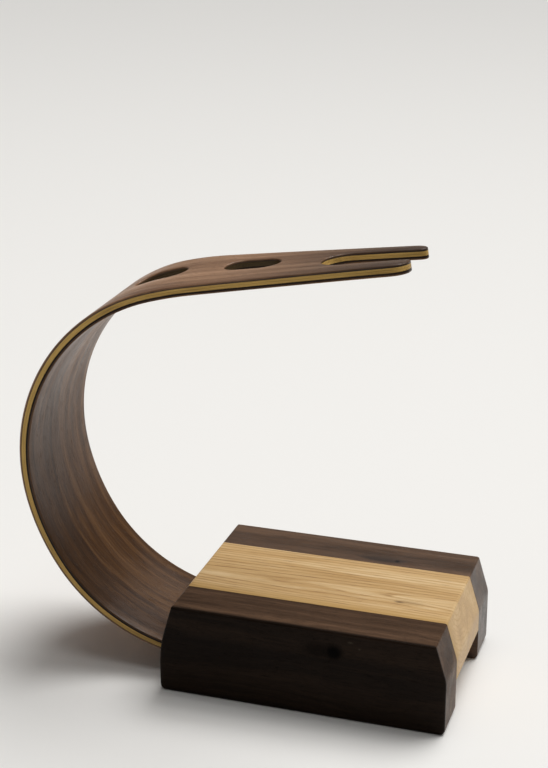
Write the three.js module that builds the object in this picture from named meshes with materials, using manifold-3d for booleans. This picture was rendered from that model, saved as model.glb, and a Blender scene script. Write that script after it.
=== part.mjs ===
// Razor and brush stand: a glued block of three strips carrying a C-shaped arm bent from thin plies.
// Millimetres, +Z up. The stand rests on z = 0, +X runs from the bend of the arm towards its fork,
// and -Y is the front. The origin is on the table, below the middle of the stand's own box.
import * as THREE from 'three';
import { mergeVertices } from 'three/addons/utils/BufferGeometryUtils.js';
import Module from 'manifold-3d';

const wasm = await Module();
wasm.setup();

// ---- Driving dimensions -------------------------------------------------------------------------

// Base block: x is measured from its left end, where the arm enters.
const BASE_LENGTH = 102;
const BASE_HEIGHT = 33;
const CENTRE_WIDTH = 37;          // pale centre strip
const SIDE_WIDTH = 17.1;          // each dark side strip
const RIGHT_BEVEL_RUN = 3.9;      // how far the right end leans back at the top
const RIGHT_BEVEL_START = 20;     // height where it starts to lean
const RIGHT_CREASE = 10;          // radius of the soft crease there
const LEFT_BEVEL_RUN = 4.8;
const LEFT_BEVEL_START = 16.5;
const LEFT_CREASE = 50;           // the left end is one long soft curve
const FOOT_ROUND = 2;             // rounded lower corners, seen from the front
const TOP_EASE = 0.6;             // lightly sanded upper corners
const LONG_EASE = 0.9;            // sanded long edges of the block
const GLUE_LINE = 0.05;           // film of glue between neighbouring pieces

// Arm: a strip bent in the plane of x and z, given from its tip along its outer face.
const ARM_TIP = { x: 80.33, z: 157.3 };
const TOP_SLOPE = 10.1;                             // degrees by which the top falls away from the tip
const TOP_LENGTH = 73.4;
const EASING = { radius: 145, turn: 6.45 };         // slow start of the bend; turns are degrees
const SHOULDER = { radius: 66.7, turn: 86.5 };
const BACK = { radius: 79.4, turn: 19.45 };
const FOOT_RADIUS = 63.8;                           // last arc, which ends level
const TAIL_LENGTH = 50;                             // flat tail let into the base
const TIP_WIDTH = 35;
const ROOT_WIDTH = 48.4;
const WIDENING_LENGTH = 200;                        // distance from the tip over which the arm widens
const TIP_LEAN = THREE.MathUtils.degToRad(5);       // slight twist: at the tip the back edge is lower
const LEAN_LENGTH = 98;                             // distance from the tip over which it fades out
const LEAN_FADE = 1.5;                              // above 1, it fades quickly at first

// Plies from the outside of the bend to the inside.
const PLIES = [
  { name: 'arm_outer_veneer', thickness: 0.85, wood: 'walnut' },
  { name: 'arm_core_ply_outer', thickness: 0.75, wood: 'maple' },
  { name: 'arm_core_ply_inner', thickness: 0.75, wood: 'maple' },
  { name: 'arm_backing_ply', thickness: 0.6, wood: 'walnut' },
  { name: 'arm_inner_veneer', thickness: 0.55, wood: 'walnut' },
];

// Openings in the arm: places are distances from the tip along the outer face, and setbacks are
// towards the back from the arm's middle line.
const SLOT_LENGTH = 20;
const SLOT_WIDTH = 13;
const SLOT_PLACES = [58.9, 93.1];
const SLOT_SETBACK = 3.5;
const FORK_GAP = 18;
const FORK_SEAT = 24.3;           // middle of the round inner end
const FORK_SETBACK = 1;
const PRONG_ROUND = 5.2;          // outer corner of a prong
const PRONG_INNER_ROUND = 2.3;    // its corner beside the gap

// Wood screws, driven up through the tail into the centre strip.
const SCREW_LENGTH = 16;
const SCREW_RADIUS = 1.6;
const SCREW_TIP_LENGTH = 3;
const SCREW_HEAD_RADIUS = 3.4;
const SCREW_HEAD_HEIGHT = 2;
const SCREW_HEAD_RIM = 0.3;       // straight edge of the countersunk head
const SCREW_SIDES = 16;
const SCREW_CLEARANCE = 0.15;
const RECESS = { length: 3.6, width: 0.9, depth: 1.1 };
const SCREW_X = [18, 44];
const SCREW_Y = [-11, 11];

const HOUSING_CLEARANCE = 0.1;    // room around the tail in the base
const ROUND_STEPS = 6;            // straight pieces on a rounded corner
const CUT = 20;                   // how far a cutter reaches past what it cuts

const ARM_THICKNESS = PLIES.reduce((sum, ply) => sum + ply.thickness, 0) + GLUE_LINE * (PLIES.length - 1);
const BASE_DEPTH = CENTRE_WIDTH + 2 * SIDE_WIDTH;

// ---- The arm's curve ----------------------------------------------------------------------------

// Stretches of constant curvature from the tip to the end of the tail. A straight one has no radius.
const FOOT = { radius: FOOT_RADIUS, turn: 180 - TOP_SLOPE - EASING.turn - SHOULDER.turn - BACK.turn };
const DEGREES_PER_STEP = 4.2;
const STRETCHES = [
  { length: TOP_LENGTH, steps: 12 },
  ...[EASING, SHOULDER, BACK, FOOT].map(({ radius, turn }) => ({
    radius,
    length: radius * THREE.MathUtils.degToRad(turn),
    steps: Math.round(turn / DEGREES_PER_STEP),
  })),
  { length: TAIL_LENGTH, steps: 2 },
];
const ARM_LENGTH = STRETCHES.reduce((sum, stretch) => sum + stretch.length, 0);

// The point and heading on the outer face, `distance` from the tip.
function outerFace(distance) {
  let { x, z } = ARM_TIP;
  let heading = Math.PI + THREE.MathUtils.degToRad(TOP_SLOPE);
  let left = distance;
  for (const { radius, length } of STRETCHES) {
    const step = Math.min(left, length);
    const turned = radius ? heading + step / radius : heading;
    if (radius) {
      x += radius * (Math.sin(turned) - Math.sin(heading));
      z += radius * (Math.cos(heading) - Math.cos(turned));
    } else {
      x += step * Math.cos(heading);
      z += step * Math.sin(heading);
    }
    heading = turned;
    left -= step;
    if (left <= 0) break;
  }
  return { x, z, heading };
}

// The arm widens smoothly away from the tip.
function armWidth(distance) {
  return TIP_WIDTH + (ROOT_WIDTH - TIP_WIDTH) * THREE.MathUtils.smoothstep(distance, 0, WIDENING_LENGTH);
}

// The arm's middle and its own axes: along it, across it towards the back, and into the bend.
// The twist turns them about the front edge.
function armAxes(distance) {
  const { x, z, heading } = outerFace(distance);
  const along = new THREE.Vector3(Math.cos(heading), 0, Math.sin(heading));
  const lean = TIP_LEAN * Math.max(0, 1 - distance / LEAN_LENGTH) ** LEAN_FADE;
  const level = new THREE.Vector3(0, 1, 0);
  const across = level.clone().applyAxisAngle(along, lean);
  const inward = along.clone().cross(across);
  const half = armWidth(distance) / 2;
  const middle = new THREE.Vector3(x, 0, z).addScaledVector(across.clone().sub(level), half);
  return { middle, along, across, inward };
}

// A point of the arm: `side` from its middle towards the back, and `depth` below its outer face.
function armPoint(distance, side, depth) {
  const { middle, across, inward } = armAxes(distance);
  return middle.addScaledVector(across, side).addScaledVector(inward, depth);
}

// Distances from the tip at which the bent pieces have a row of points.
function stations() {
  const places = [0];
  let start = 0;
  for (const { length, steps } of STRETCHES) {
    for (let i = 1; i <= steps; i++) places.push(start + (length * i) / steps);
    start += length;
  }
  return places;
}
const STATIONS = stations();

// Where the stand's box has its middle, measured from the left end of the base.
const REACH = Math.min(...STATIONS.map((distance) => outerFace(distance).x));
const MIDDLE = (BASE_LENGTH + REACH) / 2;

// ---- Solids -------------------------------------------------------------------------------------

function toSolid(geometry) {
  const bare = geometry.clone();
  bare.deleteAttribute('normal');
  bare.deleteAttribute('uv');
  const merged = mergeVertices(bare);
  return new wasm.Manifold(new wasm.Mesh({
    numProp: 3,
    vertProperties: new Float32Array(merged.attributes.position.array),
    triVerts: new Uint32Array(merged.index.array),
  }));
}

function toGeometry(solid) {
  const { vertProperties, triVerts } = solid.getMesh();
  const geometry = new THREE.BufferGeometry();
  geometry.setAttribute('position', new THREE.BufferAttribute(new Float32Array(vertProperties), 3));
  geometry.setIndex(new THREE.BufferAttribute(new Uint32Array(triVerts), 1));
  geometry.computeVertexNormals();
  return geometry;
}

const subtractAll = (solid, cutters) => cutters.reduce((rest, cutter) => rest.subtract(cutter), solid);

// An outline in x and z, extruded along y from `front` to `back`.
function alongY(shape, front, back) {
  const geometry = new THREE.ExtrudeGeometry(shape, { depth: back - front, bevelEnabled: false });
  geometry.rotateX(Math.PI / 2);
  geometry.translate(0, back, 0);
  return toSolid(geometry);
}

// An outline in y and z, extruded along x from `left` to `right`.
function alongX(shape, left, right) {
  const geometry = new THREE.ExtrudeGeometry(shape, { depth: right - left, bevelEnabled: false });
  geometry.applyMatrix4(new THREE.Matrix4().makeBasis(
    new THREE.Vector3(0, 1, 0), new THREE.Vector3(0, 0, 1), new THREE.Vector3(1, 0, 0)));
  geometry.translate(left, 0, 0);
  return toSolid(geometry);
}

// A closed outline whose corners are rounded, each by its own radius.
function roundedOutline(corners) {
  const points = [];
  corners.forEach(([x, y, radius = 0], i) => {
    const here = new THREE.Vector2(x, y);
    if (radius === 0) {
      points.push(here);
      return;
    }
    const [previous, next] = [corners.at(i - 1), corners[(i + 1) % corners.length]]
      .map(([u, v]) => new THREE.Vector2(u, v).sub(here).normalize());
    const halfAngle = Math.acos(previous.dot(next)) / 2;
    const tangent = radius / Math.tan(halfAngle);
    const curve = new THREE.QuadraticBezierCurve(
      here.clone().addScaledVector(previous, tangent), here, here.clone().addScaledVector(next, tangent));
    points.push(...curve.getPoints(ROUND_STEPS));
  });
  return new THREE.Shape(points);
}

// ---- Base ---------------------------------------------------------------------------------------

// The block seen from the front.
function baseProfile() {
  return roundedOutline([
    [0, 0, FOOT_ROUND],
    [BASE_LENGTH, 0, FOOT_ROUND],
    [BASE_LENGTH, RIGHT_BEVEL_START, RIGHT_CREASE],
    [BASE_LENGTH - RIGHT_BEVEL_RUN, BASE_HEIGHT, TOP_EASE],
    [LEFT_BEVEL_RUN, BASE_HEIGHT, TOP_EASE],
    [0, LEFT_BEVEL_START, LEFT_CREASE],
  ]);
}

const TAIL_UNDERSIDE = outerFace(ARM_LENGTH).z;
const TAIL_END = outerFace(ARM_LENGTH).x;
const CHANNEL_CEILING = TAIL_UNDERSIDE + ARM_THICKNESS + HOUSING_CLEARANCE + GLUE_LINE;

// The room that the arm's foot and tail take up inside the base.
function housing() {
  const inside = STATIONS.filter((distance) => {
    const { x, z } = outerFace(distance);
    return z < BASE_HEIGHT && x > -BASE_HEIGHT;
  });
  const below = inside.map((distance) => armPoint(distance, 0, -HOUSING_CLEARANCE));
  const above = inside.map((distance) => armPoint(distance, 0, ARM_THICKNESS + HOUSING_CLEARANCE)).reverse();
  const end = TAIL_END + HOUSING_CLEARANCE;
  const points = [...below, { x: end, z: below.at(-1).z }, { x: end, z: above[0].z }, ...above];
  const halfWidth = ROOT_WIDTH / 2 + HOUSING_CLEARANCE;
  return alongY(new THREE.Shape(points.map(({ x, z }) => new THREE.Vector2(x, z))), -halfWidth, halfWidth);
}

// One strip of the block: its outline seen from the right end, run through the block's profile.
function baseStrip(outline) {
  const block = alongY(baseProfile(), -BASE_DEPTH, BASE_DEPTH);
  return alongX(roundedOutline(outline), -CUT, BASE_LENGTH + CUT).intersect(block).subtract(housing());
}

// A dark side strip, in front of the centre strip (side -1) or behind it (side 1).
function sideStrip(side) {
  const inner = side * (CENTRE_WIDTH / 2 + GLUE_LINE);
  const outer = side * (BASE_DEPTH / 2);
  return baseStrip([
    [outer, 0, LONG_EASE],
    [inner, 0, LONG_EASE / 2],
    [inner, BASE_HEIGHT],
    [outer, BASE_HEIGHT, LONG_EASE],
  ]);
}

// The pale centre strip is thinner, which leaves a channel under it.
function centreStrip() {
  const half = CENTRE_WIDTH / 2;
  const strip = baseStrip([
    [-half, CHANNEL_CEILING],
    [half, CHANNEL_CEILING],
    [half, BASE_HEIGHT],
    [-half, BASE_HEIGHT],
  ]);
  return subtractAll(strip, screwRooms());
}

// ---- Screws -------------------------------------------------------------------------------------

const SCREW_PLACES = SCREW_X.flatMap((x) => SCREW_Y.map((y) => ({ x, y })));

// A countersunk screw pointing up from z = 0, with `spare` room all round for a hole.
function screwBody(spare, headDrop) {
  const head = SCREW_HEAD_RADIUS + spare;
  const shank = SCREW_RADIUS + spare;
  const profile = [
    [0, -headDrop],
    [head, -headDrop],
    [head, SCREW_HEAD_RIM],
    [shank, SCREW_HEAD_HEIGHT],
    [shank, SCREW_LENGTH - SCREW_TIP_LENGTH + spare],
    [0, SCREW_LENGTH + 2 * spare],
  ].map(([radius, height]) => new THREE.Vector2(radius, height));
  const geometry = new THREE.LatheGeometry(profile, SCREW_SIDES);
  geometry.rotateX(Math.PI / 2);
  return geometry;
}

function screw() {
  const recess = [[RECESS.length, RECESS.width], [RECESS.width, RECESS.length]]
    .map(([sizeX, sizeY]) => toSolid(new THREE.BoxGeometry(sizeX, sizeY, 2 * RECESS.depth)));
  return subtractAll(toSolid(screwBody(0, 0)), recess);
}

// Countersunk holes for the screws, open below, placed in the base's frame.
function screwRooms() {
  return SCREW_PLACES.map(({ x, y }) => {
    const room = screwBody(SCREW_CLEARANCE, TAIL_UNDERSIDE);
    room.translate(x, y, TAIL_UNDERSIDE);
    return toSolid(room);
  });
}

// ---- Arm ----------------------------------------------------------------------------------------

// An outline in u, away from the tip, and v, towards the back, run straight through the arm.
function throughArm(shape, distance) {
  const { middle, along, across, inward } = armAxes(distance);
  const geometry = new THREE.ExtrudeGeometry(shape, { depth: 2 * CUT, bevelEnabled: false });
  geometry.translate(0, 0, -CUT);
  geometry.applyMatrix4(new THREE.Matrix4().makeBasis(along, across, inward).setPosition(middle));
  return toSolid(geometry);
}

function slotShape() {
  const half = (SLOT_LENGTH - SLOT_WIDTH) / 2;
  const radius = SLOT_WIDTH / 2;
  const shape = new THREE.Shape();
  shape.absarc(half, SLOT_SETBACK, radius, -Math.PI / 2, Math.PI / 2);
  shape.absarc(-half, SLOT_SETBACK, radius, Math.PI / 2, -Math.PI / 2);
  return shape;
}

// What is cut off the end of the arm: everything outside the two rounded prongs.
function forkWaste() {
  const rear = FORK_SEAT + FORK_GAP;
  const half = TIP_WIDTH / 2;
  const rearHalf = armWidth(rear) / 2;
  const spare = 1;                // the sides of the cutter part slowly from those of the arm
  const radius = FORK_GAP / 2;
  const seat = [];
  for (let i = 0; i <= 2 * ROUND_STEPS; i++) {
    const angle = -Math.PI / 2 + (Math.PI * i) / (2 * ROUND_STEPS);
    seat.push([FORK_SEAT + radius * Math.cos(angle), FORK_SETBACK + radius * Math.sin(angle)]);
  }
  const prongs = roundedOutline([
    [rear + spare, -rearHalf - spare],
    [0, -half, PRONG_ROUND],
    [0, FORK_SETBACK - radius, PRONG_INNER_ROUND],
    ...seat,
    [0, FORK_SETBACK + radius, PRONG_INNER_ROUND],
    [0, half, PRONG_ROUND],
    [rear + spare, rearHalf + spare],
  ]);
  const blank = roundedOutline([[-CUT, -CUT * 2], [rear, -CUT * 2], [rear, CUT * 2], [-CUT, CUT * 2]]);
  return throughArm(blank, 0).subtract(throughArm(prongs, 0));
}

// A board bent to the arm's curve, with its four long edges running through every station.
// Both of its faces are split along the same diagonals, so that neighbouring plies never cross.
function bentBoard(top, thickness) {
  const points = STATIONS.flatMap((distance) => {
    const half = armWidth(distance) / 2;
    const corners = [[-half, top], [half, top], [half, top + thickness], [-half, top + thickness]];
    return corners.map(([side, depth]) => armPoint(distance, side, depth));
  });
  const last = points.length - 4;
  const triangles = [0, 3, 2, 0, 2, 1, last, last + 1, last + 2, last, last + 2, last + 3];
  for (let row = 0; row < last; row += 4) {
    for (let edge = 0; edge < 4; edge++) {
      const next = (edge + 1) % 4;
      const [a, b, c, d] = [row + edge, row + next, row + 4 + next, row + 4 + edge];
      triangles.push(...(edge === 2 ? [a, b, d, b, c, d] : [a, b, c, a, c, d]));
    }
  }
  const geometry = new THREE.BufferGeometry().setFromPoints(points);
  geometry.setIndex(triangles);
  return toSolid(geometry);
}

function ply(top, thickness) {
  const cutters = [
    ...SLOT_PLACES.map((distance) => throughArm(slotShape(), distance)),
    forkWaste(),
    ...screwRooms(),
  ];
  return subtractAll(bentBoard(top, thickness), cutters);
}

// ---- Assembly -----------------------------------------------------------------------------------

const MATERIALS = {
  walnut: { color: 0x4b372c, roughness: 0.5, metalness: 0 },
  oak: { color: 0xc49a5e, roughness: 0.55, metalness: 0 },
  maple: { color: 0xb08f4c, roughness: 0.55, metalness: 0 },
  steel: { color: 0x8f8b80, roughness: 0.35, metalness: 1 },
};

const stand = new THREE.Group();
stand.position.x = -MIDDLE;

function add(name, solid, material) {
  const mesh = new THREE.Mesh(toGeometry(solid), new THREE.MeshStandardMaterial(MATERIALS[material]));
  mesh.name = name;
  stand.add(mesh);
  return mesh;
}

add('base_front_strip', sideStrip(-1), 'walnut');
add('base_centre_strip', centreStrip(), 'oak');
add('base_back_strip', sideStrip(1), 'walnut');

let plyTop = 0;
for (const { name, thickness, wood } of PLIES) {
  add(name, ply(plyTop, thickness), wood);
  plyTop += thickness + GLUE_LINE;
}

SCREW_PLACES.forEach(({ x, y }, i) => {
  add(`arm_screw_${i + 1}`, screw(), 'steel').position.set(x, y, TAIL_UNDERSIDE);
});

export default stand;
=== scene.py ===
"""Looks for the razor and brush stand: fine meshes, procedural woods, floor, lights and camera.

Lengths are millimetres in the stand's own frame, and a mesh is scaled to metres when it is made.
The stand rests on z = 0, +X runs from the bend of the arm towards its fork, and -Y is the front.
"""
import math

import bmesh
import bpy
from mathutils import Matrix, Vector
from mathutils.geometry import delaunay_2d_cdt


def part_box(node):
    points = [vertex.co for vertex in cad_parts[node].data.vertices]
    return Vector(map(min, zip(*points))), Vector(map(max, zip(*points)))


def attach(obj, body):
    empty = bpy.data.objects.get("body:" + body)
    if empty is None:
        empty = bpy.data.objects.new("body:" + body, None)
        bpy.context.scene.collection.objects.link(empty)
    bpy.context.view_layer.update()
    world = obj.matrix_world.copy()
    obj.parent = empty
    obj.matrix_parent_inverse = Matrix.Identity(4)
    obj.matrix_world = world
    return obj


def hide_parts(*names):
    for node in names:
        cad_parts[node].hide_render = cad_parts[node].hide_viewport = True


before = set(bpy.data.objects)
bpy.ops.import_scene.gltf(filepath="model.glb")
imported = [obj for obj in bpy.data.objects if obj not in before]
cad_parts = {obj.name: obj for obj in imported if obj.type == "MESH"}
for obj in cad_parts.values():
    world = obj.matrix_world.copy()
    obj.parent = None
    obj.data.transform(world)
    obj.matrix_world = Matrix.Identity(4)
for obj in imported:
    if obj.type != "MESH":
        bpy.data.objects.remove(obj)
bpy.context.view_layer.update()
MM = 0.001


def node_box(node):
    """Lowest and highest corner of a CAD node, in millimetres."""
    low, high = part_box(node)
    return low / MM, high / MM


# ---- Dimensions --------------------------------------------------------------------------------------

SIDE_LOW, SIDE_HIGH = node_box("base_back_strip")
OAK_LOW, OAK_HIGH = node_box("base_centre_strip")
BASE_LEFT = SIDE_LOW.x
BASE_RIGHT = SIDE_HIGH.x
BASE_TOP = SIDE_HIGH.z
RIGHT_BEVEL_RUN = 3.9
RIGHT_BEVEL_START = 20.0
RIGHT_CREASE = 10.0
LEFT_BEVEL_RUN = 4.8
LEFT_BEVEL_START = 16.5
LEFT_CREASE = 50.0
FOOT_ROUND = 2.0
TOP_EASE = 0.9
LONG_EASE = 0.9                   # rounding of the long outer edges of the block
GLUED_EASE = 0.12                 # the barely broken edges where two strips meet

ARM_TIP = Vector((BASE_LEFT + 80.33, 157.3))
TOP_SLOPE = math.radians(10.1)
EASING = (145.0, math.radians(6.45))          # radius and turn of each arc of the arm
SHOULDER = (66.7, math.radians(86.5))
BACK = (79.4, math.radians(19.45))
FOOT = (63.8, math.pi - TOP_SLOPE - EASING[1] - SHOULDER[1] - BACK[1])
TOP_LENGTH = 73.4
TAIL_LENGTH = 50.0
STRETCHES = [
    (TOP_LENGTH, None),
    *[(radius * turn, radius) for radius, turn in (EASING, SHOULDER, BACK, FOOT)],
    (TAIL_LENGTH, None),
]
ARM_LENGTH = sum(length for length, _ in STRETCHES)
BENT_LENGTH = ARM_LENGTH - TAIL_LENGTH
TIP_WIDTH = 35.0
ROOT_WIDTH = 48.4
WIDENING_LENGTH = 200.0           # distance from the tip over which the arm widens
TIP_LEAN = math.radians(5)        # slight twist: at the tip the back edge is lower
LEAN_LENGTH = 98.0                # distance from the tip over which it fades out
LEAN_FADE = 1.5                   # power of that fade: above 1 it ends softly
GLUE_LINE = 0.05
PLIES = [                         # piece, CAD node, thickness, material and slot, from the outside in
    ("outer_veneer", "arm_outer_veneer", 0.85, "outer_walnut", "arm_walnut"),
    ("outer_core_ply", "arm_core_ply_outer", 0.75, "arm_core", "arm_core"),
    ("inner_core_ply", "arm_core_ply_inner", 0.75, "arm_core", "arm_core"),
    ("backing_ply", "arm_backing_ply", 0.6, "backing_walnut", "arm_walnut"),
    ("inner_veneer", "arm_inner_veneer", 0.55, "inner_walnut", "arm_walnut"),
]
ARM_THICKNESS = sum(ply[2] for ply in PLIES) + GLUE_LINE * (len(PLIES) - 1)
ARM_EASE = 0.45                   # sanding of every edge of the two faces of the arm
STATION_STEP = 1.6                # spacing of the points along the arm
STATIONS = round(ARM_LENGTH / STATION_STEP)
ACROSS = 10                       # spaces between the points across it
LEAST_STEP = 0.02                 # smallest step in depth within a ply

SLOT_PLACES = [58.9, 93.1]
SLOT_HALF = 3.5                   # half the straight part of a slot
SLOT_RADIUS = 6.5
SLOT_SETBACK = 3.5                # from the arm's middle line towards the back
FORK_SEAT = 24.3                  # centre of the gap's round end, from the tip
FORK_RADIUS = 9.0
FORK_SETBACK = 1.0
PRONG_ROUND = 5.2                 # outer corner of a prong
PRONG_INNER_ROUND = 2.3

SCREW_PLACES = [(BASE_LEFT + x, y) for x in (18.0, 44.0) for y in (-11.0, 11.0)]
SCREW_LENGTH = 16.0
SCREW_TIP = 3.0
SCREW_RADIUS = 1.6
SCREW_HEAD_RADIUS = 3.4
SCREW_HEAD_HEIGHT = 2.0
SCREW_HEAD_RIM = 0.3              # straight edge of the countersunk head
SCREW_CLEARANCE = 0.15
SCREW_SIDES = 48
HOLE_SIDES = 32
HOLE_DROP = 2.0                   # how far below the screw the cutter of its hole begins
RECESS_HALF_LENGTH = 1.8          # one blade of the cross-shaped recess in a screw head
RECESS_HALF_WIDTH = 0.42
RECESS_ROUND = 0.2
RECESS_DEPTH = 1.1
RECESS_TAPER = 0.32               # how far its walls lean in for each millimetre of depth
CUT_PAST = 1.0                    # how far a cutter reaches past the face that it opens
HOUSING_CLEARANCE = 0.1
HOUSED_LENGTH = 45.0              # bent part of the arm that may lie in the block
HOUSING_STEPS = 60
TAIL_UNDERSIDE = node_box("arm_outer_veneer")[0].z


# ---- The arm's curve ---------------------------------------------------------------------------------

def arm_frame(distance):
    """Point (x, z) and heading on the arm's outer face, `distance` along it from the tip."""
    x, z = ARM_TIP
    heading = math.pi + TOP_SLOPE
    left = distance
    for index, (length, radius) in enumerate(STRETCHES):
        last = index == len(STRETCHES) - 1
        step = left if last else min(left, length)
        if radius:
            turned = heading + step / radius
            x += radius * (math.sin(turned) - math.sin(heading))
            z += radius * (math.cos(heading) - math.cos(turned))
            heading = turned
        else:
            x += step * math.cos(heading)
            z += step * math.sin(heading)
        left -= step
        if left == 0:
            break
    return x, z, heading


def arm_half_width(distance):
    """Half the width of the arm, which grows smoothly away from the tip."""
    share = min(max(distance / WIDENING_LENGTH, 0.0), 1.0)
    smooth = share * share * (3 - 2 * share)
    return (TIP_WIDTH + (ROOT_WIDTH - TIP_WIDTH) * smooth) / 2


def arm_point(distance, across, depth):
    """A point of the bent arm, `depth` below its outer face. The twist turns it about the front edge."""
    x, z, heading = arm_frame(distance)
    lean = TIP_LEAN * min(max(1 - distance / LEAN_LENGTH, 0.0), 1.0) ** LEAN_FADE
    level = Vector((0, 1, 0))
    square = Vector((-math.sin(heading), 0, math.cos(heading)))
    sideways = level * math.cos(lean) + square * math.sin(lean)
    inward = square * math.cos(lean) - level * math.sin(lean)
    edge = -arm_half_width(distance)
    return Vector((x, edge, z)) + sideways * (across - edge) + inward * depth


def straight_cut(centre, offset, depth):
    """Distance from the tip at which a straight cut meets the layer at `depth`.

    The cut is square to the arm at `centre`, and runs `offset` along the arm from it.
    """
    x, z, heading = arm_frame(centre)
    along = Vector((math.cos(heading), 0, math.sin(heading)))
    origin = Vector((x, 0, z))
    distance = centre + offset
    for _ in range(4):
        x, z, turned = arm_frame(distance)
        point = Vector((x - depth * math.sin(turned), 0, z + depth * math.cos(turned)))
        miss = (point - origin).dot(along) - offset
        distance -= miss
    return distance


# ---- Outlines ----------------------------------------------------------------------------------------

def arc(centre, radius, start, end, steps):
    """Points on an arc from angle `start` to `end`, in radians."""
    angles = (start + (end - start) * i / steps for i in range(steps + 1))
    return [Vector((centre[0] + radius * math.cos(a), centre[1] + radius * math.sin(a))) for a in angles]


def rounded(corners, steps=8):
    """A closed outline whose corners (x, y, radius) are rounded by arcs."""
    points = []
    for i, (x, y, radius) in enumerate(corners):
        here = Vector((x, y))
        back = (Vector(corners[i - 1][:2]) - here).normalized()
        ahead = (Vector(corners[(i + 1) % len(corners)][:2]) - here).normalized()
        if radius == 0:
            points.append(here)
            continue
        half = back.angle(ahead) / 2
        centre = here + (back + ahead).normalized() * radius / math.sin(half)
        first = here + back * radius / math.tan(half) - centre
        turn = first.angle_signed(here + ahead * radius / math.tan(half) - centre)
        for k in range(steps + 1):
            points.append(centre + Matrix.Rotation(-turn * k / steps, 2) @ first)
    return points


def spread(points, spacing):
    """The same closed outline with extra points on its long straight sides."""
    dense = []
    for here, ahead in zip(points, points[1:] + points[:1]):
        pieces = max(1, math.ceil((ahead - here).length / spacing))
        dense += [here.lerp(ahead, k / pieces) for k in range(pieces)]
    return dense


class Loop:
    """A closed outline that is cut through a sheet. Its left-hand side is wood.

    inset(depth) says how far it moves into the wood at a depth, and flat(x, y, depth) turns its own
    coordinates into those of the sheet.
    """

    def __init__(self, points, inset, flat=lambda x, y, depth: (x, y)):
        self.points = points
        self.inset = inset
        self.flat = flat
        self.normals = []
        for before, after in zip(points[-1:] + points[:-1], points[1:] + points[:1]):
            side = after - before
            self.normals.append(Vector((-side.y, side.x)).normalized())

    def at(self, depth):
        moved = (p + n * self.inset(depth) for p, n in zip(self.points, self.normals))
        return [Vector(self.flat(p.x, p.y, depth)) for p in moved]


def eased(low, low_ease, high, high_ease):
    """Inset of an edge that is rounded where the sheet's two faces, at `low` and `high`, end."""
    def inset(depth):
        for gap, ease in ((depth - low, low_ease), (high - depth, high_ease)):
            if gap < ease:
                return ease - math.sqrt(max(0.0, ease * ease - (ease - gap) ** 2))
        return 0.0
    return inset


# ---- Meshes ------------------------------------------------------------------------------------------

def inside(point, outline):
    """Whether a point lies inside a closed outline."""
    hit = False
    for a, b in zip(outline, outline[1:] + outline[:1]):
        if (a.y > point.y) != (b.y > point.y):
            if point.x < a.x + (point.y - a.y) * (b.x - a.x) / (b.y - a.y):
                hit = not hit
    return hit


def fill(loops, extra):
    """Triangles between an outer loop and its holes, through the extra points."""
    points = [p for loop in loops for p in loop] + extra
    edges = []
    start = 0
    for loop in loops:
        edges += [(start + k, start + (k + 1) % len(loop)) for k in range(len(loop))]
        start += len(loop)
    inside_only = 1
    made, _, faces, sources, _, _ = delaunay_2d_cdt(points, edges, [], inside_only, 1e-6)
    kept = []
    for face in faces:
        middle = sum((made[k] for k in face), Vector((0, 0))) / 3
        if not any(inside(middle, hole) for hole in loops[1:]):
            kept.append([sources[k][0] for k in face])
    return kept


def new_object(name, vertices, faces):
    """A closed or open mesh from millimetre points, with its faces turned outwards."""
    mesh = bpy.data.meshes.new(name)
    mesh.from_pydata([Vector(v) * MM for v in vertices], [], faces)
    solid = bmesh.new()
    solid.from_mesh(mesh)
    bmesh.ops.recalc_face_normals(solid, faces=solid.faces)
    solid.to_mesh(mesh)
    solid.free()
    piece = bpy.data.objects.new(name, mesh)
    bpy.context.scene.collection.objects.link(piece)
    return piece


def sheet_solid(name, loops, depths, place, extra=(), triangles=None):
    """A sheet with the given loops at every depth, walls between the depths and a face at each end."""
    extra = list(extra)
    middle = (depths[0] + depths[-1]) / 2
    triangles = triangles or fill([loop.at(middle) for loop in loops], extra)
    flat = []
    for depth in depths:
        flat += [(*p, depth) for loop in loops for p in loop.at(depth)]
    per_row = sum(len(loop.points) for loop in loops)
    faces = []
    start = 0
    for loop in loops:
        count = len(loop.points)
        for row in range(len(depths) - 1):
            for k in range(count):
                a = row * per_row + start + k
                b = row * per_row + start + (k + 1) % count
                faces.append((a, b, b + per_row, a + per_row))
        start += count
    for depth, first_row in ((depths[0], 0), (depths[-1], (len(depths) - 1) * per_row)):
        first_extra = len(flat)
        flat += [(*p, depth) for p in extra]
        for face in triangles:
            faces.append([first_row + k if k < per_row else first_extra + k - per_row for k in face])
    piece = new_object(name, [place(*p) for p in flat], faces)
    grain = piece.data.attributes.new("grain", "FLOAT_VECTOR", "POINT")
    grain.data.foreach_set("vector", [c * MM for p in flat for c in p])
    return piece


def lathe_solid(name, profile, sides, place):
    """A turned solid. The profile is (radius, height) and starts and ends on the axis."""
    rings = profile[1:-1]
    vertices = [place(0, 0, profile[0][1]), place(0, 0, profile[-1][1])]
    for radius, height in rings:
        for k in range(sides):
            angle = 2 * math.pi * k / sides
            vertices.append(place(radius * math.cos(angle), radius * math.sin(angle), height))
    faces = []
    last = 2 + (len(rings) - 1) * sides
    for k in range(sides):
        ahead = (k + 1) % sides
        faces.append((0, 2 + ahead, 2 + k))
        faces.append((1, last + k, last + ahead))
        for ring in range(len(rings) - 1):
            a = 2 + ring * sides + k
            b = 2 + ring * sides + ahead
            faces.append((a, b, b + sides, a + sides))
    return new_object(name, vertices, faces)


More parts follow.
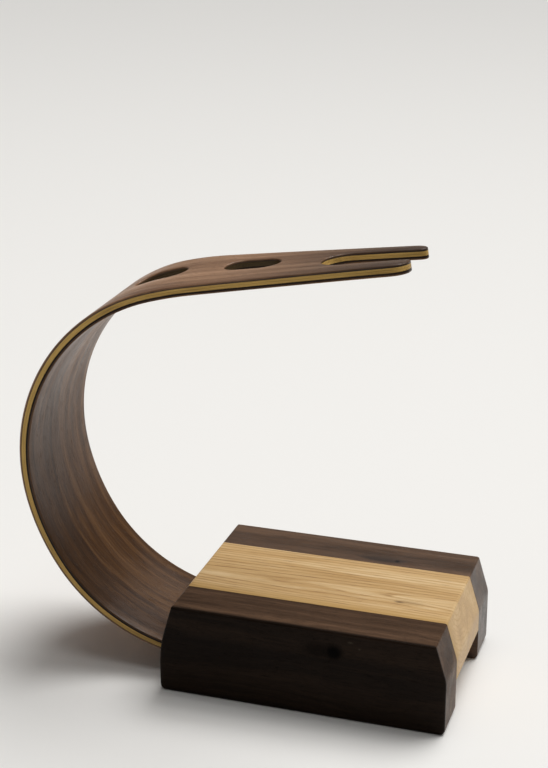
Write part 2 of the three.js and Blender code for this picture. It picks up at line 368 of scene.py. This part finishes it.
def carve(piece, cutters):
    """Cuts the cutters out of a piece for good, and removes them."""
    for cutter in cutters:
        cut = piece.modifiers.new("cut", "BOOLEAN")
        cut.operation = "DIFFERENCE"
        cut.solver = "EXACT"
        cut.object = cutter
    shaped = piece.evaluated_get(bpy.context.evaluated_depsgraph_get())
    mesh = bpy.data.meshes.new_from_object(shaped)
    piece.modifiers.clear()
    piece.data = mesh
    for cutter in cutters:
        bpy.data.objects.remove(cutter)


def shade(piece, sharp_angle, weighted=False):
    """Smooth shading with crisp edges above an angle in degrees."""
    piece.data.shade_smooth()
    piece.data.set_sharp_from_angle(angle=math.radians(sharp_angle))
    if weighted:
        normals = piece.modifiers.new("flat faces stay flat", "WEIGHTED_NORMAL")
        normals.keep_sharp = True


# ---- Materials ---------------------------------------------------------------------------------------

MIX_COLOUR_INPUTS = (0, 6, 7)     # a mix node's sockets that serve colours: factor, A and B
MIX_COLOUR_OUTPUT = 2
KNOT_CORE = 0.25                  # share of a knot's size that is at its darkest
PORE_SHADE = 0.2                  # pores and knots against the darkest tone of the wood
BACKING_SHADE = 0.35              # the backing ply against the walnut of the block
RING_WIDTH = 1.7                  # growth rings of the oak
HEART_HEIGHT = 9.0                # the heart of the oak tree, above the top face at x = HEART_START
HEART_START = -40.0
HEART_DIP = 0.045                 # its slope, down to the right
HEART_ACROSS = -2.5               # its y
OAK_END_CONTRAST = 0.35           # how plain the oak's right end is against its top


class Shader:
    """A material's nodes, with short names for the few kinds that the woods use."""

    def __init__(self, name):
        self.material = bpy.data.materials.new(name)
        self.material.use_nodes = True
        self.tree = self.material.node_tree
        self.surface = self.tree.nodes["Principled BSDF"]

    def add(self, kind, output, inputs, **settings):
        """Adds a node, with its settings and inputs, and returns one of its outputs."""
        node = self.tree.nodes.new("ShaderNode" + kind)
        for key, value in settings.items():
            setattr(node, key, value)
        for key, value in inputs.items():
            self.give(node.inputs[key], value)
        return node.outputs[output]

    def give(self, socket, value):
        """Links a socket to another node's output, or sets it to a constant."""
        if isinstance(value, bpy.types.NodeSocket):
            self.tree.links.new(value, socket)
        else:
            socket.default_value = value

    def math(self, operation, a, b=0.0):
        return self.add("Math", 0, {0: a, 1: b}, operation=operation)

    def vector(self, operation, a, b):
        return self.add("VectorMath", 0, {0: a, 1: b}, operation=operation)

    def noise(self, point, stretch, detail=3.0, roughness=0.5, seed=0.0):
        """Noise from 0 to 1 whose grains are about `stretch` millimetres long in x, y and z."""
        scaled = self.vector("MULTIPLY", point, [1 / length for length in stretch])
        shifted = self.vector("ADD", scaled, (seed, seed * 1.7, -seed))
        inputs = {"Vector": shifted, "Scale": 1.0, "Detail": detail, "Roughness": roughness}
        return self.add("TexNoise", "Fac", inputs)

    def fit(self, value, low, high, to_low=0.0, to_high=1.0):
        """Maps low..high to to_low..to_high, held at both ends."""
        inputs = {"Value": value, "From Min": low, "From Max": high, "To Min": to_low, "To Max": to_high}
        return self.add("MapRange", "Result", inputs, interpolation_type="SMOOTHSTEP")

    def ramp(self, value, stops):
        """Colour from 0 to 1 along stops of (place, colour)."""
        node = self.tree.nodes.new("ShaderNodeValToRGB")
        elements = node.color_ramp.elements
        while len(elements) < len(stops):
            elements.new(1.0)
        for element, (place, colour) in zip(elements, stops):
            element.position = place
            element.color = (*colour, 1.0)
        self.tree.links.new(value, node.inputs["Fac"])
        return node.outputs["Color"]

    def mix(self, share, a, b, blend="MIX"):
        """Colour a where the share is 0 and b, or a blended with b, where it is 1."""
        node = self.tree.nodes.new("ShaderNodeMix")
        node.data_type = "RGBA"
        node.blend_type = blend
        for index, value in zip(MIX_COLOUR_INPUTS, (share, a, b)):
            if isinstance(value, tuple):
                value = (*value, 1.0)
            self.give(node.inputs[index], value)
        return node.outputs[MIX_COLOUR_OUTPUT]

    def axis(self, vector, letter):
        return self.add("SeparateXYZ", letter, {0: vector})

    def point(self, attribute=""):
        """Millimetres along, across and into the wood: the piece's own place, or the named attribute."""
        if attribute:
            metres = self.add("Attribute", "Vector", {}, attribute_name=attribute)
        else:
            metres = self.add("TexCoord", "Object", {})
        return self.vector("MULTIPLY", metres, (1 / MM, 1 / MM, 1 / MM))

    def finish(self, colour, roughness, height, bump_distance):
        """Connects the surface, with a relief of `bump_distance` millimetres, and returns the material."""
        self.give(self.surface.inputs["Base Color"], colour)
        self.give(self.surface.inputs["Roughness"], roughness)
        inputs = {"Height": height, "Distance": bump_distance * MM, "Strength": 1.0}
        bump = self.add("Bump", "Normal", inputs)
        self.give(self.surface.inputs["Normal"], bump)
        return self.material


def rgb(code):
    """Linear colour of a six-digit hex code."""
    parts = [int(code[i:i + 2], 16) / 255 for i in (0, 2, 4)]
    return tuple(c / 12.92 if c <= 0.04045 else ((c + 0.055) / 1.055) ** 2.4 for c in parts)


def around(shader, point, centre, radii, core=0.0):
    """1 within the `core` share of an ellipsoid's radii, falling smoothly to 0 at its surface."""
    offset = shader.vector("SUBTRACT", point, centre)
    scaled = shader.vector("DIVIDE", offset, radii)
    length = shader.add("VectorMath", "Value", {0: scaled}, operation="LENGTH")
    return shader.fit(length, core, 1.0, 1.0, 0.0)


def walnut(name, attribute, tones, seed, knots=(), specks=(), layers=(), specular=0.3):
    """Satin oiled walnut: long dark and light streaks, fine fibres, short pores and any knots.

    A knot is a centre, radii and darkness, and a speck a centre and radii. A layer is an axis, two
    places along it and a share: the colour is multiplied by the share at the first place and beyond it,
    and is left alone from the second on.
    """
    s = Shader(name)
    point = s.point(attribute)
    wander = s.noise(point, (45, 14, 14), 2, seed=seed)
    bent = s.vector("ADD", point, s.vector("MULTIPLY", wander, (0, 7, 7)))
    dark = 0.0
    for centre, radii, darkness in knots:
        knot = around(s, point, centre, radii, KNOT_CORE)
        bent = s.vector("ADD", bent, s.vector("MULTIPLY", knot, (0, radii[1] / 2, radii[2] / 2)))
        dark = s.math("MAXIMUM", s.math("MULTIPLY", knot, darkness), dark)
    streaks = s.noise(bent, (200, 3.2, 3.2), 3, 0.55, seed + 3)
    broad = s.noise(bent, (300, 11, 11), 2, 0.5, seed + 5)
    fibres = s.noise(bent, (22, 0.45, 0.45), 3, 0.6, seed + 7)
    figure = s.math("ADD", s.math("MULTIPLY", streaks, 0.35), s.math("MULTIPLY", broad, 0.4))
    figure = s.math("ADD", figure, s.math("MULTIPLY", fibres, 0.25))
    colour = s.ramp(s.fit(figure, 0.34, 0.66), tones)
    pores = s.fit(s.noise(bent, (4.5, 0.2, 0.2), 1, 0.5, seed + 9), 0.6, 0.72)
    dark = s.math("MAXIMUM", s.math("MULTIPLY", pores, 0.5), dark)
    colour = s.mix(dark, colour, tuple(c * PORE_SHADE for c in tones[0][1]))
    for centre, radii in specks:
        colour = s.mix(around(s, point, centre, radii), colour, rgb("8c7a68"))
    for axis, darkest, untouched, share in layers:
        darker = s.mix(1.0, colour, (share, share, share), "MULTIPLY")
        colour = s.mix(s.fit(s.axis(point, axis), darkest, untouched), darker, colour)
    patches = s.noise(point, (18, 6, 6), 2, 0.6, seed + 11)
    roughness = s.math("ADD", s.fit(patches, 0.3, 0.7, 0.3, 0.4), s.math("MULTIPLY", dark, 0.4))
    height = s.math("SUBTRACT", s.math("MULTIPLY", fibres, 0.35), pores)
    s.surface.inputs["Specular IOR Level"].default_value = specular
    return s.finish(colour, roughness, height, 0.04)


def growth_rings(s, point):
    """1 in the porous early wood of each growth ring of the oak, falling to 0 in its late wood.

    The heart of the tree lies just above the block and dips to the right, so the rings cross the top
    face as long flat arches.
    """
    dip = s.math("MULTIPLY", s.math("SUBTRACT", s.axis(point, "X"), HEART_START), HEART_DIP)
    height = s.math("SUBTRACT", s.axis(point, "Z"), BASE_TOP + HEART_HEIGHT)
    from_heart = {
        "X": 0.0,
        "Y": s.math("SUBTRACT", s.axis(point, "Y"), HEART_ACROSS),
        "Z": s.math("ADD", height, dip),
    }
    heart = s.add("CombineXYZ", 0, from_heart)
    radius = s.add("VectorMath", "Value", {0: heart}, operation="LENGTH")
    ring = s.math("FRACT", s.math("DIVIDE", radius, RING_WIDTH))
    return s.math("MAXIMUM", s.fit(ring, 0.0, 0.4, 1.0, 0.0), s.fit(ring, 0.85, 1.0, 0.0, 1.0))


def oak(name):
    """Satin oiled oak: long flat arches of growth rings, bands of open pores, and a golden front edge.

    The right end, seen across the grain, is plainer than the top.
    """
    s = Shader(name)
    point = s.point()
    wander = s.noise(point, (60, 9, 9), 2, 0.5, 2)
    bent = s.vector("ADD", point, s.vector("MULTIPLY", wander, (0, 3.4, 3.4)))
    fibres = s.noise(bent, (30, 0.9, 0.9), 3, 0.65, 4)
    broad = s.noise(bent, (110, 6, 6), 2, 0.5, 6)
    top_edge = BASE_RIGHT - RIGHT_BEVEL_RUN
    contrast = s.fit(s.axis(point, "X"), top_edge - 1, top_edge, 1.0, OAK_END_CONTRAST)
    band = s.math("MULTIPLY", growth_rings(s, bent), contrast)
    fibres = s.math("ADD", s.math("MULTIPLY", s.math("SUBTRACT", fibres, 0.5), contrast), 0.5)
    tone = s.math("ADD", s.math("MULTIPLY", band, -0.18), s.math("MULTIPLY", fibres, 0.6))
    tone = s.math("ADD", tone, s.math("MULTIPLY", broad, 0.5))
    colour = s.ramp(s.fit(tone, 0.22, 0.78), OAK_TONES)
    golden = s.fit(s.axis(point, "Y"), OAK_LOW.y, OAK_LOW.y + 6, 0.6, 0.0)
    colour = s.mix(golden, colour, rgb("b78f4b"))
    dashes = s.fit(s.noise(bent, (8, 0.45, 0.45), 1, 0.5, 8), 0.53, 0.68)
    pores = s.math("MULTIPLY", dashes, s.fit(band, 0.1, 0.9, 0.3, 1.0))
    colour = s.mix(s.math("MULTIPLY", pores, 0.5), colour, rgb("7a5226"))
    for centre, radii, darkness in OAK_PINS:
        pin = s.math("MULTIPLY", around(s, point, centre, radii), darkness)
        colour = s.mix(pin, colour, rgb("4c3218"))
    roughness = s.math("ADD", s.fit(broad, 0.3, 0.7, 0.36, 0.46), s.math("MULTIPLY", pores, 0.2))
    relief = s.math("SUBTRACT", s.math("MULTIPLY", fibres, 0.3), pores)
    s.surface.inputs["Specular IOR Level"].default_value = 0.4
    return s.finish(colour, roughness, relief, 0.06)


def core_veneer(name):
    """The golden veneer of the arm's core, which is seen on edge. It is painted darker in the slots:
    painted shade inside these recesses.
    """
    s = Shader(name)
    point = s.point("grain")
    fibres = s.noise(point, (14, 0.5, 0.12), 3, 0.6, 1)
    broad = s.noise(point, (40, 6, 6), 2, 0.5, 3)
    tone = s.math("ADD", s.math("MULTIPLY", fibres, 0.6), s.math("MULTIPLY", broad, 0.4))
    colour = s.ramp(s.fit(tone, 0.3, 0.7), CORE_TONES)
    # painted shade: the walls of each slot are darkened, as shade falls inside it
    for place in SLOT_PLACES:
        slot = around(s, point, (place, SLOT_SETBACK, 0), (13, 9, 50), 0.85)
        colour = s.mix(s.math("MULTIPLY", slot, 0.9), colour, rgb("241708"))
    roughness = s.fit(broad, 0.3, 0.7, 0.42, 0.55)
    s.surface.inputs["Specular IOR Level"].default_value = 0.25
    return s.finish(colour, roughness, fibres, 0.04)


def plated_steel(name):
    """Bright plated steel with faint turning marks."""
    s = Shader(name)
    point = s.point()
    marks = s.noise(point, (0.3, 0.3, 6), 2, 0.5, 1)
    tarnish = s.noise(point, (3, 3, 3), 3, 0.6, 2)
    colour = s.ramp(s.fit(tarnish, 0.3, 0.7), STEEL_TONES)
    s.surface.inputs["Metallic"].default_value = 1.0
    return s.finish(colour, s.fit(tarnish, 0.3, 0.7, 0.25, 0.4), marks, 0.01)


def shaded(tones, share):
    """The same tones with every colour multiplied by a share."""
    return [(place, tuple(c * share for c in colour)) for place, colour in tones]


BASE_TONES = [(0.0, rgb("3b2b20")), (0.4, rgb("4c392b")), (0.7, rgb("5a4434")), (1.0, rgb("6a513e"))]
INNER_TONES = [(0.0, rgb("452a13")), (0.4, rgb("674424")), (0.7, rgb("805832")), (1.0, rgb("9a7046"))]
OUTER_TONES = [(0.0, rgb("6c4d38")), (0.4, rgb("8b694f")), (0.7, rgb("a17c60")), (1.0, rgb("ba9476"))]
OAK_TONES = [(0.0, rgb("ab8450")), (0.35, rgb("c39c66")), (0.65, rgb("cfab76")), (1.0, rgb("e0c293"))]
CORE_TONES = [(0.0, rgb("8c6d36")), (0.5, rgb("c09a52")), (1.0, rgb("dcb568"))]
STEEL_TONES = [(0.0, rgb("a39d90")), (1.0, rgb("cbc8bf"))]

FRONT = -SIDE_HIGH.y              # y of the block's front face
FRONT_KNOTS = [((40.0, FRONT, 25.3), (4.6, 9, 4.2), 1.0), ((34.5, FRONT, 25.3), (8, 6, 4), 0.6)]
FRONT_SPECKS = [((45.8, FRONT, 29.9), (1.6, 1, 0.7)), ((49.0, FRONT, 27.9), (0.7, 1, 0.6))]
BACK_KNOTS = [((47.3, 22.3, BASE_TOP), (1.7, 1.6, 4), 1.0), ((42.5, 22.6, BASE_TOP), (13, 4, 6), 0.5)]
OAK_PINS = [((55.7, -8.1, BASE_TOP), (2.6, 1.0, 3), 0.8), ((59.0, -7.6, BASE_TOP), (9, 2.2, 3), 0.3)]

# The front face, and a narrow band along the front edge of the top, are painted far darker than the
# top: painted shade. In the veneers x is the distance from the tip and z the depth. The outer one is
# dark along its glue line, and is painted darker towards the tip as painted shadow where a brush and
# razor, which are not built, would shade the fork. The inner one is darker on its edge than on its
# face, and is painted darker towards the foot so that it stays lighter towards the bend: painted sheen.
FRONT_PAINTED_SHADE = [("Y", FRONT + 0.4, FRONT + 1.8, 0.15)]
# a dark glue line, and painted shadow towards the tip where a brush and razor would shade the fork
OUTER_GLUE_LINE_AND_PAINTED_SHADE = [("Z", 0.65, 0.3, 0.3), ("X", 5, 75, 0.3)]
# a darker edge, and painted sheen: the face is left lighter towards the bend and darker towards the foot
INNER_EDGE_AND_PAINTED_SHEEN = [("Z", ARM_THICKNESS - 0.35, ARM_THICKNESS - 0.1, 0.5), ("X", 240, 120, 0.5)]

MATERIALS = {
    "front_walnut": walnut("front_walnut", "", BASE_TONES, 21.0,
                           FRONT_KNOTS, FRONT_SPECKS, FRONT_PAINTED_SHADE, specular=0.05),
    "back_walnut": walnut("back_walnut", "", BASE_TONES, 4.0, BACK_KNOTS),
    "oak": oak("oak"),
    "outer_walnut": walnut("outer_walnut", "grain", OUTER_TONES, 8.0, layers=OUTER_GLUE_LINE_AND_PAINTED_SHADE),
    "backing_walnut": walnut("backing_walnut", "grain", shaded(BASE_TONES, BACKING_SHADE), 14.0,
                             specular=0.1),
    "inner_walnut": walnut("inner_walnut", "grain", INNER_TONES, 11.0, layers=INNER_EDGE_AND_PAINTED_SHEEN),
    "arm_core": core_veneer("arm_core"),
    "steel": plated_steel("steel"),
}


def settle(piece, material, node):
    """Gives a piece its material, and lets it ride in the place of its CAD node."""
    piece.data.materials.clear()
    piece.data.materials.append(MATERIALS[material])
    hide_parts(node)
    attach(piece, "root")


# ---- Base --------------------------------------------------------------------------------------------

def block_outline():
    """The block seen from the front, as a closed outline in x and z."""
    corners = [
        (BASE_LEFT, 0, FOOT_ROUND),
        (BASE_RIGHT, 0, FOOT_ROUND),
        (BASE_RIGHT, RIGHT_BEVEL_START, RIGHT_CREASE),
        (BASE_RIGHT - RIGHT_BEVEL_RUN, BASE_TOP, TOP_EASE),
        (BASE_LEFT + LEFT_BEVEL_RUN, BASE_TOP, TOP_EASE),
        (BASE_LEFT, LEFT_BEVEL_START, LEFT_CREASE),
    ]
    return rounded(corners)


def depths_between(low, low_ease, high, high_ease, steps=5):
    """Depths close together where an edge is rounded: at the two faces and through the easing."""
    turns = [1 - math.cos(math.pi / 2 * k / steps) for k in range(steps + 1)]
    near = [low + low_ease * t for t in turns]
    far = [high - high_ease * t for t in reversed(turns)]
    return near + far


def along_y(x, z, y):
    """Places a sheet that is drawn in x and z, with its depth along y."""
    return Vector((x, y, z))


def housing_cutter():
    """The room that the arm's foot and tail need in the block."""
    start = BENT_LENGTH - HOUSED_LENGTH
    step = (ARM_LENGTH - start) / HOUSING_STEPS
    places = [start + step * k for k in range(HOUSING_STEPS + 1)]
    places.append(ARM_LENGTH + HOUSING_CLEARANCE)
    outer = [arm_point(d, 0, -HOUSING_CLEARANCE) for d in places]
    inner = [arm_point(d, 0, ARM_THICKNESS + HOUSING_CLEARANCE) for d in reversed(places)]
    outline = [Vector((p.x, p.z)) for p in outer + inner]
    half = ROOT_WIDTH / 2 + HOUSING_CLEARANCE
    return sheet_solid("housing_cutter", [Loop(outline, lambda depth: 0.0)], [-half, half], along_y)


def screw_profile(spare, drop):
    """Radius and height of a countersunk screw that points up, or of its hole with room to spare."""
    head = SCREW_HEAD_RADIUS + spare
    shank = SCREW_RADIUS + spare
    return [
        (0, -drop),
        (head, -drop),
        (head, SCREW_HEAD_RIM),
        (shank, SCREW_HEAD_HEIGHT),
        (shank, SCREW_LENGTH - SCREW_TIP + spare),
        (0, SCREW_LENGTH + 2 * spare),
    ]


def screw_place(x, y):
    """A function that stands a screw's own coordinates in the tail at x and y."""
    return lambda u, v, height: Vector((x + u, y + v, TAIL_UNDERSIDE + height))


def side_strip(name, node, side, material):
    """A walnut strip, on the side -1 (front) or 1 (back) of the oak."""
    inner = OAK_HIGH.y + GLUE_LINE
    outer = SIDE_HIGH.y
    depths = depths_between(inner, GLUED_EASE, outer, LONG_EASE)
    loop = Loop(block_outline(), eased(inner, GLUED_EASE, outer, LONG_EASE))
    strip = sheet_solid(name, [loop], depths, lambda x, z, y: Vector((x, side * y, z)))
    carve(strip, [housing_cutter()])
    shade(strip, 40, weighted=True)
    settle(strip, material, node)


def oak_outline():
    """The block's outline above the channel."""
    upper = [p for p in block_outline() if p.y > OAK_LOW.z + TOP_EASE]
    return [
        *arc((BASE_LEFT + TOP_EASE, OAK_LOW.z + TOP_EASE), TOP_EASE, math.pi, 1.5 * math.pi, 6),
        *arc((BASE_RIGHT - TOP_EASE, OAK_LOW.z + TOP_EASE), TOP_EASE, 1.5 * math.pi, 2 * math.pi, 6),
        *upper,
    ]


def centre_strip():
    """The oak strip, with room for the arm's tail and the screws."""
    low, high = OAK_LOW.y, OAK_HIGH.y
    loop = Loop(oak_outline(), eased(low, GLUED_EASE, high, GLUED_EASE))
    depths = depths_between(low, GLUED_EASE, high, GLUED_EASE, 2)
    strip = sheet_solid("centre_strip", [loop], depths, along_y)
    hole = screw_profile(SCREW_CLEARANCE, HOLE_DROP)
    holes = [lathe_solid("hole", hole, HOLE_SIDES, screw_place(x, y)) for x, y in SCREW_PLACES]
    carve(strip, [housing_cutter(), *holes])
    shade(strip, 40, weighted=True)
    settle(strip, "oak", "base_centre_strip")


# ---- Arm ---------------------------------------------------------------------------------------------

ARM_INSET = eased(0, ARM_EASE, ARM_THICKNESS, ARM_EASE)


def arm_outline():
    """The arm laid flat, from the tip of the fork to the end of the tail: (distance, across)."""
    tip_half = arm_half_width(0)
    r = PRONG_ROUND
    small = PRONG_INNER_ROUND
    quarter = math.pi / 2
    low_gap = FORK_SETBACK - FORK_RADIUS
    high_gap = FORK_SETBACK + FORK_RADIUS
    stations = (ARM_LENGTH * k / STATIONS for k in range(STATIONS + 1))
    sides = [d for d in stations if d > r]
    return [
        *[Vector((d, -arm_half_width(d))) for d in sides],
        *[Vector((d, arm_half_width(d))) for d in reversed(sides)],
        *arc((r, tip_half - r), r, quarter, 2 * quarter, 8),
        *arc((small, high_gap + small), small, 2 * quarter, 3 * quarter, 6),
        *arc((FORK_SEAT, FORK_SETBACK), FORK_RADIUS, quarter, -quarter, 28),
        *arc((small, low_gap - small), small, quarter, 2 * quarter, 6),
        *arc((r, -tip_half + r), r, 2 * quarter, 3 * quarter, 8),
    ]


def slot_loop(place):
    """A slot, cut straight through the arm. It runs clockwise, so the wood is on its left."""
    quarter = math.pi / 2
    points = [
        *arc((SLOT_HALF, SLOT_SETBACK), SLOT_RADIUS, quarter, -quarter, 24),
        *arc((-SLOT_HALF, SLOT_SETBACK), SLOT_RADIUS, -quarter, -3 * quarter, 24),
    ]
    return Loop(spread(points, STATION_STEP), ARM_INSET,
                lambda x, y, depth: (straight_cut(place, x, depth), y))


def screw_hole_loop(x, y):
    """A countersunk hole in the tail, as wide as the screw and its clearance at each depth."""
    place = BENT_LENGTH + x - arm_frame(BENT_LENGTH)[0]
    sink = SCREW_HEAD_HEIGHT - SCREW_HEAD_RIM

    def widening(depth):
        share = min(max((SCREW_HEAD_HEIGHT - depth) / sink, 0.0), 1.0)
        return share * (SCREW_HEAD_RADIUS - SCREW_RADIUS)

    return Loop(arc((place, y), SCREW_RADIUS + SCREW_CLEARANCE, 2 * math.pi, 0, 32)[:-1], widening)


def inner_points(loops):
    """Points between the loops, one row at each station, so that the bent faces stay smooth."""
    outer, *holes = [loop.at(ARM_THICKNESS / 2) for loop in loops]
    edge = outer + [p for hole in holes for p in hole]
    points = []
    for k in range(1, STATIONS):
        distance = ARM_LENGTH * k / STATIONS
        near = [p for p in edge if abs(p.x - distance) < STATION_STEP]
        for i in range(1, ACROSS):
            here = Vector((distance, arm_half_width(distance) * (2 * i / ACROSS - 1)))
            crowded = any((here - p).length < STATION_STEP for p in near)
            if not crowded and inside(here, outer) and not any(inside(here, hole) for hole in holes):
                points.append(here)
    return points


def build_arm():
    """The plies, all from one flat outline with its slots and holes, bent as one."""
    loops = [Loop(arm_outline(), ARM_INSET)]
    loops += [slot_loop(place) for place in SLOT_PLACES]
    loops += [screw_hole_loop(*place) for place in SCREW_PLACES]
    extra = inner_points(loops)
    triangles = fill([loop.at(ARM_THICKNESS / 2) for loop in loops], extra)
    top = 0.0
    for name, node, thickness, material, slot in PLIES:
        bottom = top + thickness
        turning = depths_between(0, ARM_EASE, ARM_THICKNESS, ARM_EASE)
        turning += [SCREW_HEAD_RIM, SCREW_HEAD_HEIGHT]
        between = [d for d in turning if top + LEAST_STEP < d < bottom - LEAST_STEP]
        depths = sorted({top, bottom, *between})
        ply = sheet_solid(name, loops, depths, arm_point, extra, triangles)
        shade(ply, 35)
        settle(ply, material, node)
        top = bottom + GLUE_LINE


# ---- Screws ------------------------------------------------------------------------------------------

def recess_cutters(place):
    """Two crossed blades, narrower towards their tips, that cut the recess in a screw's head."""
    length, width = RECESS_HALF_LENGTH, RECESS_HALF_WIDTH
    corners = [(-length, -width), (length, -width), (length, width), (-length, width)]
    outline = rounded([(x, y, RECESS_ROUND) for x, y in corners], 4)
    blades = []
    for turn in (0.0, math.pi / 2):
        turned = [Matrix.Rotation(turn, 2) @ p for p in outline]
        loop = Loop(turned, lambda depth: RECESS_TAPER * max(depth, 0))
        blades.append(sheet_solid("blade", [loop], [-CUT_PAST, 0, RECESS_DEPTH], place))
    return blades


def build_screws():
    """The four screws, up through the tail into the oak."""
    for index, (x, y) in enumerate(SCREW_PLACES, 1):
        place = screw_place(x, y)
        screw = lathe_solid(f"screw_{index}", screw_profile(0, 0), SCREW_SIDES, place)
        carve(screw, recess_cutters(place))
        shade(screw, 30)
        settle(screw, "steel", f"arm_screw_{index}")


# ---- Room --------------------------------------------------------------------------------------------

FLOOR_HALF = 4000.0
FLOOR_COLOUR = (0.87, 0.855, 0.825)
WINDOW_SIDE = (0.25, 0.45, 1)     # the daylight comes from above, a little from behind and the right
WINDOW_STRENGTH = 2.2
WINDOW_ANGLE = math.radians(40)   # as wide as a large window, so that its shadows are soft
SOFT_BOX_PLACE = Vector((100, 200, 1500))
SOFT_BOX_TARGET = Vector((0, 0, 60))
SOFT_BOX_SIZE = 1200.0
SOFT_BOX_POWER = 8
SKY_COLOUR = (1.0, 0.99, 0.97)
SKY_STRENGTH = 0.12

CAMERA_PLACE = Vector((178.25, -520.3, 308.9))
CAMERA_AZIMUTH = math.radians(18.14)
CAMERA_ELEVATION = math.radians(20.4)
CAMERA_ROLL = math.radians(-0.27)
LENS = 79.69
SENSOR_WIDTH = 36


def build_floor():
    """A plain pale floor."""
    size = FLOOR_HALF
    corners = [(-size, -size, 0), (size, -size, 0), (size, size, 0), (-size, size, 0)]
    floor = new_object("floor", corners, [(0, 1, 2, 3)])
    s = Shader("floor")
    s.surface.inputs["Base Color"].default_value = (*FLOOR_COLOUR, 1)
    s.surface.inputs["Roughness"].default_value = 0.7
    floor.data.materials.append(s.material)


def aim(data, place, back):
    """Puts a light or a camera at a place, looking away from the direction `back`."""
    thing = bpy.data.objects.new(data.name, data)
    thing.location = place * MM
    thing.rotation_euler = Vector(back).to_track_quat("Z", "Y").to_euler()
    bpy.context.scene.collection.objects.link(thing)
    return thing


def light_room():
    """Soft daylight, one soft box overhead and a faint even sky."""
    window = bpy.data.lights.new("window", "SUN")
    window.energy = WINDOW_STRENGTH
    window.angle = WINDOW_ANGLE
    aim(window, Vector((0, 0, 0)), WINDOW_SIDE)
    soft_box = bpy.data.lights.new("overhead", "AREA")
    soft_box.size = SOFT_BOX_SIZE * MM
    soft_box.energy = SOFT_BOX_POWER
    aim(soft_box, SOFT_BOX_PLACE, SOFT_BOX_PLACE - SOFT_BOX_TARGET)
    world = bpy.data.worlds.new("room")
    world.use_nodes = True
    sky = world.node_tree.nodes["Background"]
    sky.inputs["Color"].default_value = (*SKY_COLOUR, 1)
    sky.inputs["Strength"].default_value = SKY_STRENGTH
    bpy.context.scene.world = world
    bpy.context.scene.view_settings.view_transform = "Standard"


def add_camera():
    """Looks down at the stand from the front right."""
    data = bpy.data.cameras.new("camera")
    data.lens = LENS
    data.sensor_width = SENSOR_WIDTH
    level = math.cos(CAMERA_ELEVATION)
    back = Vector((
        math.sin(CAMERA_AZIMUTH) * level,
        -math.cos(CAMERA_AZIMUTH) * level,
        math.sin(CAMERA_ELEVATION),
    ))
    camera = aim(data, CAMERA_PLACE, back)
    roll = Matrix.Rotation(CAMERA_ROLL, 3, "Z")
    camera.rotation_euler = (camera.rotation_euler.to_matrix() @ roll).to_euler()
    bpy.context.scene.camera = camera


side_strip("front_strip", "base_front_strip", -1, "front_walnut")
side_strip("back_strip", "base_back_strip", 1, "back_walnut")
centre_strip()
build_arm()
build_screws()
build_floor()
light_room()
add_camera()
